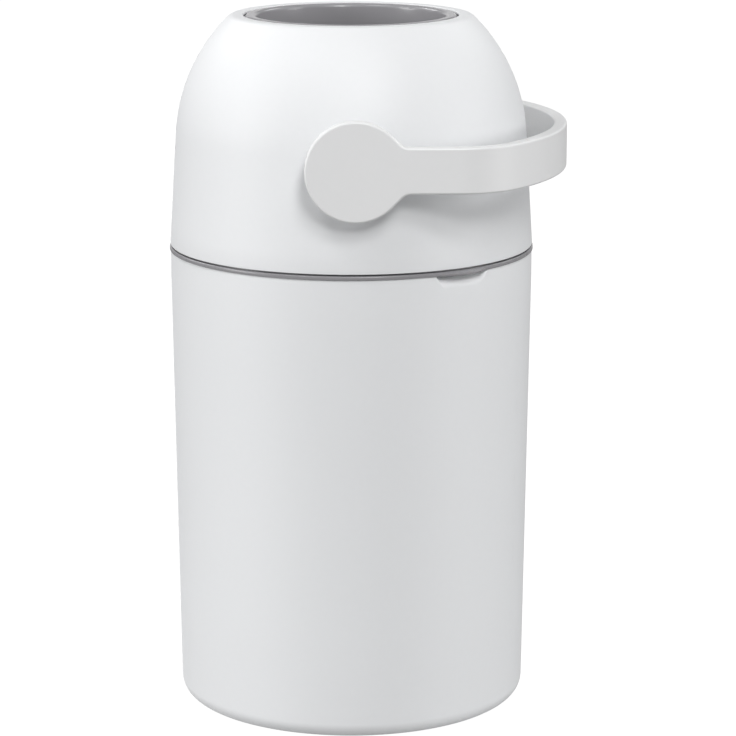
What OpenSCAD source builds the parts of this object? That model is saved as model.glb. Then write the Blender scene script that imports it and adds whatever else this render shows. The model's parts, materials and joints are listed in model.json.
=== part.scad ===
// Flip-handle nappy bin: a bucket, a domed head hinged to its rim, and a round drum in the head.
// Turning the carrying handle over the top turns the drum upside down, and the piston inside the
// drum's chute falls and pushes the nappy into the bucket, while the other end becomes the new cup.
// Millimetres, +Z up, origin at the centre of the base, drum axis along Y, handle towards +X.

/* [Bucket] */
// Height of the bucket from the floor to its rim
bucket_h = 355; // [300:1:420]
// How far the rim lies inside the edge of the grey ring
bucket_inset = 0.8; // [0.4:0.1:2]
// Height of the straight band below the rim
rim_band = 20; // [18:1:40]
// Radius that the tapered wall loses from the straight band to the floor
bucket_taper = 5; // [0:0.1:8]
// Radius of the rounded bottom corner
bucket_corner_r = 12.6; // [6:0.1:20]
// Thickness of the bucket's wall
bucket_wall = 2.6; // [2:0.1:3]
// Thickness of the bucket's floor
bucket_floor = 3; // [2.5:0.1:6]
// Radius of each anti-slip pad
pad_r = 11; // [6:0.5:16]
// Gap between a pad and the edge of the flat underside
pad_inset = 10.6; // [2:0.1:40]
// Thickness of each anti-slip pad, inlaid flush
pad_t = 1.5; // [0.8:0.1:2]

/* [Bag ring] */
// Depth of the bag ring's seat below the rim
bag_seat_drop = 14; // [13:0.5:30]
// How far the bag ring reaches inside the gasket that it carries
bag_lip = 1.6; // [0.5:0.1:8]
// Thickness of the bag ring's flange
bag_flange_t = 2.5; // [1.5:0.1:3]
// Wall of the bag ring's collar
bag_collar_wall = 2.2; // [1.5:0.1:3]
// Height of the bag ring's collar below its flange
bag_collar_h = 12; // [6:0.5:30]
// Clearance round the bag ring
bag_fit = 0.4; // [0.3:0.1:1]
// Thickness of the ledge that carries the bag ring
ledge_t = 3; // [2:0.1:5]

/* [Finger scoop and lift tab] */
// Direction of the tab, in degrees from +X
tab_angle = -55; // [-70:1:-30]
// Width of the scoop at the rim
scoop_w = 45; // [30:1:60]
// Width of the scoop at its lower end
scoop_low_w = 30; // [15:1:44]
// Height of the scoop
scoop_h = 12; // [8:0.5:12]
// Depth of the scoop at the rim
scoop_depth = 6.5; // [4:0.1:6.8]
// Wall behind the scoop
scoop_wall = 2; // [1.5:0.1:2.2]
// How far the tab stands out from the grey ring
tab_reach = 4.5; // [2:0.1:8]
// Height of the tab's upright edge
tab_edge_t = 1.2; // [0.8:0.1:2.5]
// How far the tab's sloped top runs back
tab_slope = 3.6; // [1:0.1:6]

/* [Head base] */
// Thickness of the grey ring and plate
ring_t = 3; // [2.5:0.1:5]
// Shadow gap between the grey ring and the dome
shadow_gap = 1.2; // [0.6:0.1:2.5]
// Height of the collar that centres the dome
collar_h = 6; // [3:0.5:10]
// Wall of the collar that centres the dome
collar_wall = 2.6; // [1.5:0.1:4]
// Gap between the collar and the dome's wall
collar_gap = 0.5; // [0.5:0.1:1]
// Gap between the scoop's wall and the skirt that reaches down to the bag ring
skirt_gap = 1.1; // [0.8:0.1:3]
// Wall of that skirt
skirt_wall = 2; // [1.5:0.1:2.6]
// Thickness of the gasket under that skirt
gasket_t = 1.5; // [1:0.1:3]
// Gap between the dish and the drum
dish_gap = 1.5; // [1:0.1:3]
// Thickness of the dish under the drum
dish_t = 3; // [2.5:0.1:5]
// Radial width of the dish, from the outlet to the plate
dish_w = 16.47; // [14:0.01:20]
// Gap round the drum's lower rim in the outlet
outlet_gap = 3.5; // [2:0.1:4]
// Distance of the outlet's seal from the outlet's edge
outlet_seal_in = 3.3; // [2:0.1:4]
// Width of the outlet's seal
outlet_seal_w = 8.8; // [4:0.1:11]

/* [Head hinge] */
// Distance of the hinge axis outside the grey ring
hinge_out = 6; // [5.8:0.1:9]
// Height of the hinge axis above the bucket's rim
hinge_rise = 2; // [1.5:0.1:3]
// Radius of the hinge pin
hinge_pin_r = 2; // [1.5:0.1:2.5]
// Running clearance of the pin in the head's ears
hinge_play = 0.05; // [0.02:0.01:0.1]
// Interference of the pin in the bucket's knuckle
hinge_press = 0.02; // [0.01:0.01:0.05]
// Radius of the knuckles
knuckle_r = 5; // [4:0.1:5.4]
// Width of the bucket's knuckle
knuckle_w = 24; // [14:1:40]
// Width of each of the head's ears
ear_w = 8.6; // [6:0.1:14]
// Gap between an ear and the knuckle
ear_gap = 0.4; // [0.3:0.1:1]
// Reach of the heel that stops the head when it is open
heel_reach = 10.6; // [9:0.1:10.7]
// Thickness of the heel
heel_t = 5; // [3:0.1:5]
// Thickness of the bracket under the hinge
bracket_t = 6; // [4:0.1:10]
// Gap between the heel's reach and the bracket
bracket_gap = 0.4; // [0.4:0.1:1]

/* [Dome] */
// Gap between the drum and the inside of the dome's ball-shaped top
drum_gap = 6; // [5.6:0.1:10]
// How much wider than its ball the dome is at its bottom edge
dome_flare = 4.9; // [2:0.1:8]
// How far the dome's bottom edge lies inside the grey ring's edge
dome_inset = 0.5; // [0.2:0.1:1.5]
// Wall of the dome
dome_wall = 2.6; // [2:0.1:3.2]
// Gap between the dome's mouth and the drum's rim
mouth_gap = 1.5; // [0.8:0.1:2.5]
// Radius of the soft bend from the dome's ball to the flat lip round its mouth
lip_r = 7; // [4.5:0.1:9]
// How far the lip's top lies above the crest of the drum's rim
lip_rise = 0.1; // [0:0.1:2]
// Distance of the seal inside the dome from the lip's bend
mouth_seal_in = 1; // [0.5:0.1:8]
// Width of that seal's root
mouth_seal_w = 11.5; // [7:0.1:18]
// Width of that seal's wiping edge
mouth_seal_edge_w = 2.6; // [1.5:0.1:4]
// Thickness of that seal's root
mouth_seal_root = 3; // [1.5:0.1:5]
// Number of screws that hold the dome to the head base
dome_screw_n = 6; // [3:1:8]
// Distance of those screws from the inside of the skirt
dome_screw_in = 5; // [4:0.1:6]
// Turn of the first screw from +X
dome_screw_turn = 5; // [0:1:10]
// Radius of the dome's screw bosses
dome_boss_r = 4.5; // [3.5:0.1:5]
// Height of the dome's screw bosses
dome_boss_h = 16; // [14:0.5:20]
// Thickness of the ribs that join bosses to walls
rib_t = 2.4; // [1.5:0.1:4]

/* [Drum] */
// Radius of the drum's ball-shaped shell
drum_r = 126; // [124:0.1:127]
// Wall of the drum's shells
drum_wall = 2.4; // [2:0.1:3.5]
// Gap between the drum and the seals that wipe it
seal_gap = 0.3; // [0.2:0.1:0.6]
// Radius of the chute's bore
chute_r = 75; // [70:0.1:76]
// Wall of the chute
chute_wall = 2.5; // [2:0.1:3]
// Wall of the rim's skirt outside the chute
rim_skirt = 3; // [2:0.1:4]
// How far the rim stands into the chute
rim_land = 2.8; // [2:0.1:3.4]
// Depth of the rim's sleeve inside the chute, whose end stops the piston
rim_sleeve_h = 12; // [6:0.5:20]
// Rounding of the rim's outer edge
rim_round = 2; // [1:0.1:4.6]
// Rounding of the rim's inner edge
rim_inner_round = 2.9; // [1:0.1:3.4]
// Height of the rim's crest above its edge at the drum's surface
rim_rise = 1.2; // [0.9:0.1:2.4]
// Height of the rim's crest above the end of the chute
rim_depth = 6; // [4:0.1:8]
// Depth of the rim's skirt along the chute
rim_skirt_h = 7; // [4:0.1:10]
// Thickness of the shell's ledge under the rim
shell_ledge_t = 2.4; // [1.5:0.1:4]
// Distance of the shell screws inside the drum's surface
shell_screw_in = 12.6; // [11.5:0.1:15]
// Angle of the shell screws above and below the drum's equator
shell_screw_lean = 21; // [14:1:22]
// Radius of the shell's screw bosses
shell_boss_r = 5; // [4:0.1:5.2]
// Depth of the blind boss of the front shell
shell_boss_h = 16; // [14:0.5:20]
// Floor under the shell screws' heads
shell_screw_floor = 3; // [2:0.1:4]

/* [Pivot] */
// Radius of the hub's shaft
hub_r = 14; // [10:0.1:16]
// Running clearance of the shaft in its bush
hub_play = 0.05; // [0.02:0.01:0.1]
// Wall of the bearing bush
bush_wall = 3; // [2:0.1:4]
// Thickness of the bush's flange
bush_flange_t = 1.5; // [1:0.1:2]
// How far the bush's flange reaches past its sleeve
bush_flange_w = 5; // [3:0.1:6]
// Height of the dome's bearing boss above the dome
bearing_boss_out = 1.8; // [1:0.1:2]
// Gap between the bearing boss and the drum
bearing_boss_gap = 1.6; // [1:0.1:3]
// End play between the bush and the hub's flange
end_play = 0.3; // [0.3:0.1:0.6]
// Radius of the hub's flange behind the handle's disc
hub_flange_r = 21; // [17:0.5:26]
// Thickness of the hub's flange
hub_flange_t = 4.2; // [2:0.1:8]
// Depth of the hub's seat in the drum's pole
hub_seat = 2; // [1:0.1:4]
// Corner radius of the hub's inner hexagon
hub_key_r = 10; // [8:0.1:12]
// Length of the hub's inner hexagon
hub_key_h = 9.5; // [6:0.1:14]
// Corner radius of the hub's outer hexagon
hub_nose_r = 12; // [9:0.1:14]
// Length of the hub's outer hexagon
hub_nose_h = 6; // [5:0.1:7]
// Wall of the drum's boss round the hub's key
pole_boss_wall = 6; // [3:0.1:8]
// Depth of the drum's boss below its pole
pole_boss_h = 25; // [22:0.5:34]
// Angular width of the stop lug on the drum
stop_lug_angle = 20; // [12:1:30]
// Distance of the stop lug from the drum's axis
stop_r = 28; // [27:0.5:32]
// Radial width of the stop lug and of its stop wall
stop_w = 5; // [3:0.1:6]
// Angle between the lug and the stop wall at each end of the turn
stop_play = 0.4; // [0.2:0.1:1]
// Angle that the handle turns through
turn_angle = 180; // [150:1:180]

/* [Handle] */
// Thickness of the handle
handle_t = 10; // [9.5:0.1:10.5]
// Width of the handle's arms and grip
arm_w = 34; // [24:0.5:44]
// Height of the arms' middle above the drum's axis
arm_rise = 0.9; // [-2:0.1:2]
// Radius of the handle's discs
disc_r = 37.1; // [34:0.1:45]
// Outer radius of the rounded corners, seen from above
bend_r = 55; // [40:1:70]
// Outer radius of the grip's long curve
grip_r = 210; // [180:1:260]
// Room for the fingers between the dome and the grip
hand_gap = 20.4; // [18:0.1:50]
// Rounding of the handle's edges
handle_edge_r = 1.8; // [0.5:0.1:3]
// Fillet where the disc's neck meets the arm
neck_fillet_r = 10; // [4:0.5:16]

/* [Piston] */
// Height of the piston over its caps
piston_h = 36; // [30:0.5:60]
// Gap between the piston's body and the bore
piston_gap = 1.6; // [1:0.1:2.5]
// Gap between the piston's wipers and the bore
wiper_gap = 0.3; // [0.2:0.1:0.6]
// Thickness of each piston cap
cap_t = 3; // [2:0.1:5]
// Thickness of each wiper
wiper_t = 2.5; // [1.5:0.1:4]
// Thickness of the wiper's edge
wiper_edge_t = 1; // [0.5:0.1:1.4]
// Radius of the caps' spigots through the wipers
spigot_r = 60; // [40:0.5:66]
// Wall of the piston's body
piston_wall = 2.5; // [2:0.1:4]
// Rounding of the caps' edges
cap_round = 1.5; // [0.5:0.1:1.5]
// Radius of the steel weight in the piston
weight_r = 50; // [30:0.5:58]
// Thickness of the steel weight
weight_t = 8; // [4:0.5:14]

/* [Screws] */
// Shank radius of the small screws
screw_r = 1.5; // [1.2:0.1:1.8]
// Head radius of the small screws
screw_head_r = 3; // [2.4:0.1:3.2]
// Head height of the small screws
screw_head_h = 2.2; // [1.5:0.1:2.4]
// Length of the small screws under their heads
screw_l = 14; // [12:0.5:15]
// Shank radius of the hub's screws
hub_screw_r = 2.5; // [2:0.1:3]
// Head radius of the hub's screws
hub_screw_head_r = 5; // [4:0.1:5.5]
// Head height of the hub's screws
hub_screw_head_h = 3.5; // [2.5:0.1:4]
// How far the hub's screws reach into the drum's boss, past the key
hub_screw_bite = 10; // [6:0.5:11]
// Clearance round every seated part
fit = 0.1; // [0.05:0.01:0.15]
// Extra radius of a screw's hole
screw_fit = 0.2; // [0.1:0.05:0.3]
// Extra radius of a screw's pilot hole
pilot_fit = 0.05; // [0.03:0.01:0.1]
// Solid end of each pilot hole
pilot_floor = 2; // [1.5:0.1:3]

/* [Hidden] */
$fn = 120;

white = "whitesmoke";
grey = "darkgray";
dark = "dimgray";
steel = "silver";

// How far a cut runs past what it cuts, or a joint is sunk into its neighbour
lap = 1;
far = 400;
front = -1;
back = 1;

// Angle that a length along a circle takes up
function turn_of(length, r) = length / r * 180 / PI;

function arc(centre, r, from, to, steps = 12) =
    [for (i = [0:steps]) let (a = from + (to - from) * i / steps) centre + r * [cos(a), sin(a)]];

// Nested radii, from the drum out to the bucket
dish_r = drum_r + dish_gap;
seal_r = drum_r + seal_gap;
dome_inner_r = drum_r + drum_gap;
dome_r = dome_inner_r + dome_wall;
dome_foot_r = dome_r + dome_flare;
ring_r = dome_foot_r + dome_inset;
bucket_rim_r = ring_r - bucket_inset;
rim_inner_r = bucket_rim_r - bucket_wall;
scoop_back_r = bucket_rim_r - scoop_depth - scoop_wall;
skirt_r = scoop_back_r - skirt_gap;
skirt_inner_r = skirt_r - skirt_wall;
dome_screw_place_r = skirt_inner_r - dome_screw_in;

// Bag ring
bag_ring_r = skirt_inner_r - bag_lip;
bag_collar_r = bag_ring_r + bag_collar_wall;
bag_flange_r = rim_inner_r - bag_fit;
ledge_r = bag_collar_r + bag_fit;
bag_seat_z = bucket_h - bag_seat_drop;
bag_flange_top_z = bag_seat_z + bag_flange_t;

// Underside of the bucket
bucket_slope = atan(bucket_taper / (bucket_h - rim_band));
pad_place_r = bucket_rim_r - bucket_taper - bucket_corner_r - pad_inset - pad_r;

// Hinge, opposite the lift tab
hinge_angle = tab_angle + 180;
hinge_place_r = ring_r + hinge_out;
hinge_z = bucket_h + hinge_rise;
ear_start = knuckle_w / 2 + ear_gap;
bracket_top_z = hinge_z - heel_reach - bracket_gap;

// Chute and its rims, as heights above the drum's axis
chute_outer_r = chute_r + chute_wall;
rim_outer_r = chute_outer_r + rim_skirt;
rim_bore_r = chute_r - rim_land;
rim_crest = sqrt(drum_r * drum_r - rim_outer_r * rim_outer_r) + rim_rise;
chute_end = rim_crest - rim_depth;
rim_foot = chute_end - rim_skirt_h;
piston_stop = chute_end - rim_sleeve_h;
mouth_r = rim_outer_r + mouth_gap;
outlet_r = rim_outer_r + outlet_gap;

// Levels of the head; the dish meets the plate's top
plate_top_z = bucket_h + ring_t;
dome_bottom_z = plate_top_z + shadow_gap;
pivot_z = plate_top_z + sqrt(pow(dish_r, 2) - pow(outlet_r + dish_w, 2));
dome_axis_rise = pivot_z - dome_bottom_z;
collar_r = dome_foot_r - dome_wall - collar_gap;

// The dome's lip and the seals, as angles from the drum's poles
lip_top = rim_crest + lip_rise;
lip_angle = acos((lip_top - lip_r) / (dome_r - lip_r));
outlet_seal_to = 180 - asin(outlet_r / dish_r) - turn_of(outlet_seal_in, dish_r);
outlet_seal_from = outlet_seal_to - turn_of(outlet_seal_w, dish_r);
outlet_seal_out = dish_r + dish_t / 2;

// Shell screws, from the drum's axis
shell_screw_place_r = drum_r - shell_screw_in;
shell_screw_x = shell_screw_place_r * cos(shell_screw_lean);
shell_screw_z = shell_screw_place_r * sin(shell_screw_lean);

// Piston, resting on the lower rim
piston_r = chute_r - piston_gap;
wiper_r = chute_r - wiper_gap;
piston_z = pivot_z - piston_stop;
body_low = cap_t + wiper_t;

// Distances along the drum's axis
key_seat = drum_r - hub_seat;
key_end = key_seat - hub_key_h;
bearing_in = drum_r + bearing_boss_gap;
bearing_out = dome_r + bearing_boss_out;
bush_face = bearing_out + bush_flange_t;
hub_flange_in = bush_face + end_play;
disc_back = hub_flange_in + hub_flange_t;
handle_half_w = disc_back + handle_t;
bush_r = hub_r + hub_play + bush_wall;
bush_flange_r = bush_r + bush_flange_w;
screw_seat = disc_back + hub_nose_h - hub_screw_head_h;
pole_boss_r = hub_key_r + pole_boss_wall;

// Handle's plan: a straight arm, a bend and the grip's long curve, all tangent
handle_reach = dome_r + hand_gap + handle_t;
grip_centre_x = handle_reach - grip_r;
bend_y = handle_half_w - bend_r;
bend_angle = asin(bend_y / (grip_r - bend_r));
bend_x = grip_centre_x + (grip_r - bend_r) * cos(bend_angle);
edge_steps = 4;

// A point of a half section, at a distance from the drum's centre and an angle from its upper pole
function polar(r, angle) = [r * sin(angle), r * cos(angle)];

// Puts a half section, drawn from the drum's centre, into place and turns it about the Z axis
module revolve_at_pivot() {
    translate([0, 0, pivot_z]) rotate_extrude() children();
}

// A ring of rectangular section
module ring(inner, outer, low, high) {
    rotate_extrude() translate([inner, low]) square([outer - inner, high - low]);
}

// Children drawn with +Z pointing out of the drum along its axis, and +Y up
module on_side(side) {
    translate([0, 0, pivot_z]) mirror([0, side == back ? 1 : 0, 0]) rotate([90, 0, 0]) children();
}

// Children drawn with +X pointing outwards
module facing(angle) {
    rotate([0, 0, angle]) children();
}

// A round bar along the tangent, at a distance from the Z axis
module tangent_bar(place_r, z, r, from, to) {
    translate([place_r, from, z]) rotate([-90, 0, 0]) cylinder(r = r, h = to - from);
}

// ---- Bucket ----

// Half section of the bucket's outside, or of its inside when shrunk by the wall
module bucket_section(shrink, floor_z) {
    corner = bucket_corner_r - shrink;
    top_r = bucket_rim_r - shrink;
    foot_r = top_r - bucket_taper;
    middle_r = foot_r + tan(bucket_slope) * (floor_z + corner) - corner / cos(bucket_slope);
    middle = [middle_r, floor_z + corner];
    tangent_point = middle + corner * [cos(bucket_slope), -sin(bucket_slope)];
    polygon([
        [0, floor_z], [middle_r, floor_z], middle, tangent_point,
        [top_r, bucket_h - rim_band], [top_r, bucket_h], [0, bucket_h]
    ]);
    translate(middle) circle(r = corner);
}

// Space of the finger scoop, or of its walls when grown
module scoop(grow) {
    low_z = bucket_h - scoop_h;
    wedge = [
        [bucket_rim_r - scoop_depth - grow, bucket_h + lap],
        [bucket_rim_r - scoop_depth - grow, bucket_h],
        [bucket_rim_r - grow, low_z - grow / 2],
        [bucket_rim_r + far, low_z - grow / 2],
        [bucket_rim_r + far, bucket_h + lap]
    ];
    face = [
        [-scoop_low_w / 2 - grow, low_z - grow],
        [scoop_low_w / 2 + grow, low_z - grow],
        [scoop_w / 2 + grow, bucket_h],
        [scoop_w / 2 + grow, bucket_h + lap],
        [-scoop_w / 2 - grow, bucket_h + lap],
        [-scoop_w / 2 - grow, bucket_h]
    ];
    facing(tab_angle) intersection() {
        translate([0, scoop_w, 0]) rotate([90, 0, 0]) linear_extrude(2 * scoop_w) polygon(wedge);
        rotate([90, 0, 90]) linear_extrude(far) polygon(face);
    }
}

module bag_ledge() {
    rotate_extrude() polygon([
        [ledge_r, bag_seat_z],
        [rim_inner_r + bucket_wall / 2, bag_seat_z],
        [rim_inner_r + bucket_wall / 2, bag_seat_z - ledge_t - (rim_inner_r - ledge_r)],
        [ledge_r, bag_seat_z - ledge_t]
    ]);
}

// The bucket's half of the hinge: a bracket, an upright web and the middle knuckle
module hinge_bracket() {
    half = ear_start + ear_w;
    facing(hinge_angle) {
        translate([bucket_rim_r - bucket_wall, -half, bracket_top_z - bracket_t])
            cube([hinge_place_r + knuckle_r - bucket_rim_r + bucket_wall, 2 * half, bracket_t]);
        translate([hinge_place_r - knuckle_r + lap, -knuckle_w / 2, bracket_top_z - lap])
            cube([2 * (knuckle_r - lap), knuckle_w, hinge_z - bracket_top_z + lap]);
        tangent_bar(hinge_place_r, hinge_z, knuckle_r, -knuckle_w / 2, knuckle_w / 2);
    }
}

module pads(r, t) {
    for (angle = [45:90:315])
        rotate([0, 0, angle]) translate([pad_place_r, 0, 0]) cylinder(r = r, h = t);
}

module bucket() {
    color(white) difference() {
        union() {
            rotate_extrude() difference() {
                bucket_section(0, 0);
                bucket_section(bucket_wall, bucket_floor);
                translate([0, bucket_h - lap]) square([rim_inner_r, 2 * lap]);
            }
            bag_ledge();
            intersection() {
                scoop(scoop_wall);
                rotate_extrude() bucket_section(bucket_wall / 2, bucket_floor);
            }
            hinge_bracket();
        }
        scoop(0);
        pads(pad_r + fit, pad_t);
        facing(hinge_angle)
            tangent_bar(hinge_place_r, hinge_z, hinge_pin_r - hinge_press, -knuckle_w, knuckle_w);
    }
}

module base_pads() {
    color(dark) pads(pad_r, pad_t);
}

module bag_ring() {
    notch_w = scoop_w + 2 * (scoop_wall + bag_fit);
    notch_r = scoop_back_r - bag_fit;
    color(grey) difference() {
        union() {
            ring(bag_ring_r, bag_flange_r, bag_seat_z, bag_flange_top_z);
            ring(bag_ring_r, bag_collar_r, bag_seat_z - bag_collar_h, bag_seat_z + bag_flange_t / 2);
        }
        facing(tab_angle) translate([notch_r, -notch_w / 2, bag_seat_z - lap])
            cube([far, notch_w, bag_flange_t + 2 * lap]);
    }
}

module hinge_pin() {
    reach = ear_start + ear_w;
    color(steel) facing(hinge_angle) tangent_bar(hinge_place_r, hinge_z, hinge_pin_r, -reach, reach);
}

// ---- Head base and its seals ----

// Half section of a seal's seat or body, between two distances from the drum's centre
module seal_section(inner, outer, from, to) {
    polygon(concat(
        [for (i = [0:6]) polar(inner, from + (to - from) * i / 6)],
        [for (i = [6:-1:0]) polar(outer, from + (to - from) * i / 6)]
    ));
}

module head_base_section() {
    difference() {
        union() {
            translate([outlet_r, bucket_h]) square([ring_r - outlet_r, ring_t]);
            translate([0, pivot_z]) intersection() {
                circle(r = dish_r + dish_t);
                translate([outlet_r, -far]) square([far, far + plate_top_z - pivot_z]);
            }
            translate([skirt_inner_r, bag_flange_top_z + gasket_t])
                square([skirt_wall, bucket_h - bag_flange_top_z - gasket_t + lap]);
            translate([collar_r - collar_wall, plate_top_z - lap]) square([collar_wall, collar_h + lap]);
        }
        translate([0, pivot_z]) circle(r = dish_r);
        translate([0, pivot_z])
            seal_section(seal_r, outlet_seal_out, outlet_seal_from, outlet_seal_to);
    }
}

module dome_screw_places() {
    for (i = [0:dome_screw_n - 1])
        facing(360 / dome_screw_n * i + dome_screw_turn) translate([dome_screw_place_r, 0, 0]) children();
}

// The head's half of the hinge: two ears and the heels that stop on the bucket's bracket
module hinge_ears() {
    facing(hinge_angle) for (from = [ear_start, -ear_start - ear_w]) {
        tangent_bar(hinge_place_r, hinge_z, knuckle_r, from, from + ear_w);
        translate([ring_r - 2 * lap, from, bucket_h]) cube([hinge_out + 2 * lap, ear_w, ring_t]);
        translate([hinge_place_r, from, hinge_z - heel_t / 2]) cube([heel_reach, ear_w, heel_t]);
    }
}

// A lens-shaped lip whose top slopes down to an upright edge
module lift_tab() {
    half = scoop_w / 2;
    chord_x = sqrt(ring_r * ring_r - half * half);
    rise = ring_r + tab_reach - chord_x;
    tab_r = (half * half + rise * rise) / (2 * rise);
    facing(tab_angle) translate([ring_r + tab_reach - tab_r, 0, bucket_h]) {
        cylinder(r = tab_r, h = tab_edge_t);
        translate([0, 0, tab_edge_t])
            cylinder(r1 = tab_r, r2 = tab_r - tab_slope, h = ring_t - tab_edge_t);
    }
}

module head_base() {
    color(grey) difference() {
        union() {
            rotate_extrude() head_base_section();
            hinge_ears();
            difference() {
                lift_tab();
                translate([0, 0, bucket_h - lap]) cylinder(r = collar_r, h = ring_t + 2 * lap);
            }
        }
        dome_screw_places() translate([0, 0, bucket_h - lap])
            cylinder(r = screw_r + screw_fit, h = ring_t + 2 * lap);
        facing(hinge_angle)
            tangent_bar(hinge_place_r, hinge_z, hinge_pin_r + hinge_play, -far / 4, far / 4);
    }
}

module outlet_seal() {
    play = turn_of(fit, dish_r);
    color(dark) revolve_at_pivot()
        seal_section(seal_r, outlet_seal_out, outlet_seal_from + play, outlet_seal_to - play);
}

module rim_gasket() {
    color(dark) ring(skirt_inner_r, skirt_r, bag_flange_top_z, bag_flange_top_z + gasket_t);
}

// ---- Dome ----

// Angle above the drum's axis at which a ball's skirt leaves it for the foot
function tangent_angle(r, foot_r) =
    acos(r / norm([foot_r, dome_axis_rise])) - atan2(dome_axis_rise, foot_r);

// Half section of the dome's outside, or of its inside when shrunk: a ball that bends into a flat
// top and runs tangent into a widening skirt
module dome_outline(shrink, drop) {
    r = dome_r - shrink;
    foot_r = dome_foot_r - shrink;
    angle = tangent_angle(r, foot_r);
    touch = r * [cos(angle), sin(angle)];
    low_r = foot_r + tan(angle) * drop;
    bend = polar(dome_r - lip_r, lip_angle);
    top = lip_top - shrink;
    intersection() {
        circle(r = r);
        polygon([bend, polar(far, lip_angle), [far, touch[1]], [bend[0], touch[1]]]);
    }
    translate(bend) circle(r = lip_r - shrink);
    polygon([
        [0, -dome_axis_rise - drop], [low_r, -dome_axis_rise - drop], touch, [bend[0], touch[1]],
        [bend[0], top], [0, top]
    ]);
}

module dome_section() {
    edge_r = dome_wall / 2;
    difference() {
        dome_outline(0, 0);
        dome_outline(dome_wall, 1);
        square([mouth_r + edge_r, far]);
    }
    translate([mouth_r + edge_r, lip_top - edge_r]) circle(r = edge_r);
}

// A pad round the drum's axis that takes the bearing bush
module bearing_boss() {
    translate([0, 0, bearing_in]) cylinder(r = bush_flange_r, h = bearing_out - bearing_in);
}

// The wall that the drum's lug meets at both ends of the handle's turn
module stop_wall() {
    width = 360 - turn_angle - stop_lug_angle - 2 * stop_play;
    inside = sqrt(pow(bearing_in, 2) - pow(stop_r - stop_w / 2, 2));
    intersection() {
        rotate([0, 0, 180 - width / 2]) rotate_extrude(angle = width)
            translate([stop_r - stop_w / 2, inside]) square([stop_w, far]);
        sphere(r = dome_r - dome_wall / 2);
    }
}

// A screw boss that stands on the plate, with a rib out to the middle of the dome's wall
module dome_boss() {
    skirt_lean = tangent_angle(dome_r, dome_foot_r);
    wall_r = dome_foot_r - dome_wall / 2 - tan(skirt_lean) * (dome_boss_h - shadow_gap);
    rib_rise = collar_h + lap;
    translate([0, 0, plate_top_z]) cylinder(r = dome_boss_r, h = dome_boss_h);
    translate([0, -rib_t / 2, plate_top_z + rib_rise])
        cube([wall_r - dome_screw_place_r, rib_t, dome_boss_h - rib_rise]);
}

module dome() {
    color(white) difference() {
        union() {
            revolve_at_pivot() dome_section();
            for (side = [front, back]) on_side(side) bearing_boss();
            on_side(front) stop_wall();
            dome_screw_places() dome_boss();
        }
        for (side = [front, back])
            on_side(side) translate([0, 0, bearing_in - lap]) cylinder(r = bush_r, h = far);
        dome_screw_places() translate([0, 0, plate_top_z - lap])
            cylinder(r = screw_r + pilot_fit, h = dome_boss_h - pilot_floor + lap);
    }
}

module dome_screws() {
    color(steel) dome_screw_places() {
        translate([0, 0, bucket_h - screw_head_h]) cylinder(r = screw_head_r, h = screw_head_h);
        translate([0, 0, bucket_h - lap]) cylinder(r = screw_r, h = screw_l + lap);
    }
}

// A lip that hangs from the inside of the dome and wipes the drum
module mouth_seal() {
    root = turn_of(mouth_seal_w, dome_inner_r);
    edge = turn_of(mouth_seal_edge_w, seal_r);
    from = lip_angle + turn_of(mouth_seal_in, dome_inner_r);
    to = from + root;
    edge_from = (from + to - edge) / 2;
    root_r = dome_inner_r - mouth_seal_root;
    color(dark) revolve_at_pivot() polygon(concat(
        [for (i = [0:6]) polar(dome_inner_r, from + root * i / 6)],
        [polar(root_r, to), polar(seal_r, edge_from + edge), polar(seal_r, edge_from)],
        [polar(root_r, from)]
    ));
}

module bearing_bush(side) {
    color(grey) on_side(side) difference() {
        union() {
            translate([0, 0, bearing_in]) cylinder(r = bush_r, h = bearing_out - bearing_in);
            translate([0, 0, bearing_out]) cylinder(r = bush_flange_r, h = bush_flange_t);
        }
        translate([0, 0, bearing_in - lap]) cylinder(r = hub_r + hub_play, h = far);
    }
}

module bearing_bush_front() {
    bearing_bush(front);
}

module bearing_bush_back() {
    bearing_bush(back);
}

// ---- Drum ----

// Half section of the shell: a ball's wall with a ledge under each rim
module shell_section() {
    hole_r = rim_outer_r + fit;
    ledge_in = chute_outer_r + fit;
    difference() {
        circle(r = drum_r);
        circle(r = drum_r - drum_wall);
        translate([-far, -far]) square([far + hole_r, 2 * far]);
    }
    for (low = [rim_foot - shell_ledge_t, -rim_foot]) intersection() {
        translate([ledge_in, low]) square([far, shell_ledge_t]);
        circle(r = drum_r - drum_wall / 2);
    }
}

// Half of the shell on one side of the drum, drawn with +Z along its axis
module half_shell() {
    intersection() {
        rotate([90, 0, 0]) rotate_extrude() shell_section();
        translate([-far / 2, -far / 2, 0]) cube([far, far, far]);
    }
}

module shell_screw_places() {
    for (x = [-1, 1], y = [-1, 1])
        translate([x * shell_screw_x, y * shell_screw_z, 0]) children();
}

// Ribs that join the screw bosses to the wall
module shell_ribs() {
    lean = shell_screw_lean;
    wall_r = sqrt(pow(drum_r - drum_wall / 2, 2) - pow(shell_boss_h, 2));
    for (angle = [lean, -lean, 180 - lean, 180 + lean])
        rotate([0, 0, angle]) translate([shell_screw_place_r, -rib_t / 2, 0])
            cube([wall_r - shell_screw_place_r, rib_t, shell_boss_h]);
}

// Boss inside the drum's pole, with the hub's seat, key and screw hole
module pole_boss() {
    intersection() {
        translate([0, 0, drum_r - pole_boss_h]) cylinder(r = pole_boss_r, h = pole_boss_h);
        sphere(r = drum_r - fit);
    }
}

module pole_bores() {
    translate([0, 0, key_seat]) cylinder(r = hub_r + fit, h = far);
    translate([0, 0, key_end - 2 * fit]) cylinder(r = hub_key_r + fit, h = far, $fn = 6);
    translate([0, 0, key_end - hub_screw_bite - lap]) cylinder(r = hub_screw_r + pilot_fit, h = far);
}

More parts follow.
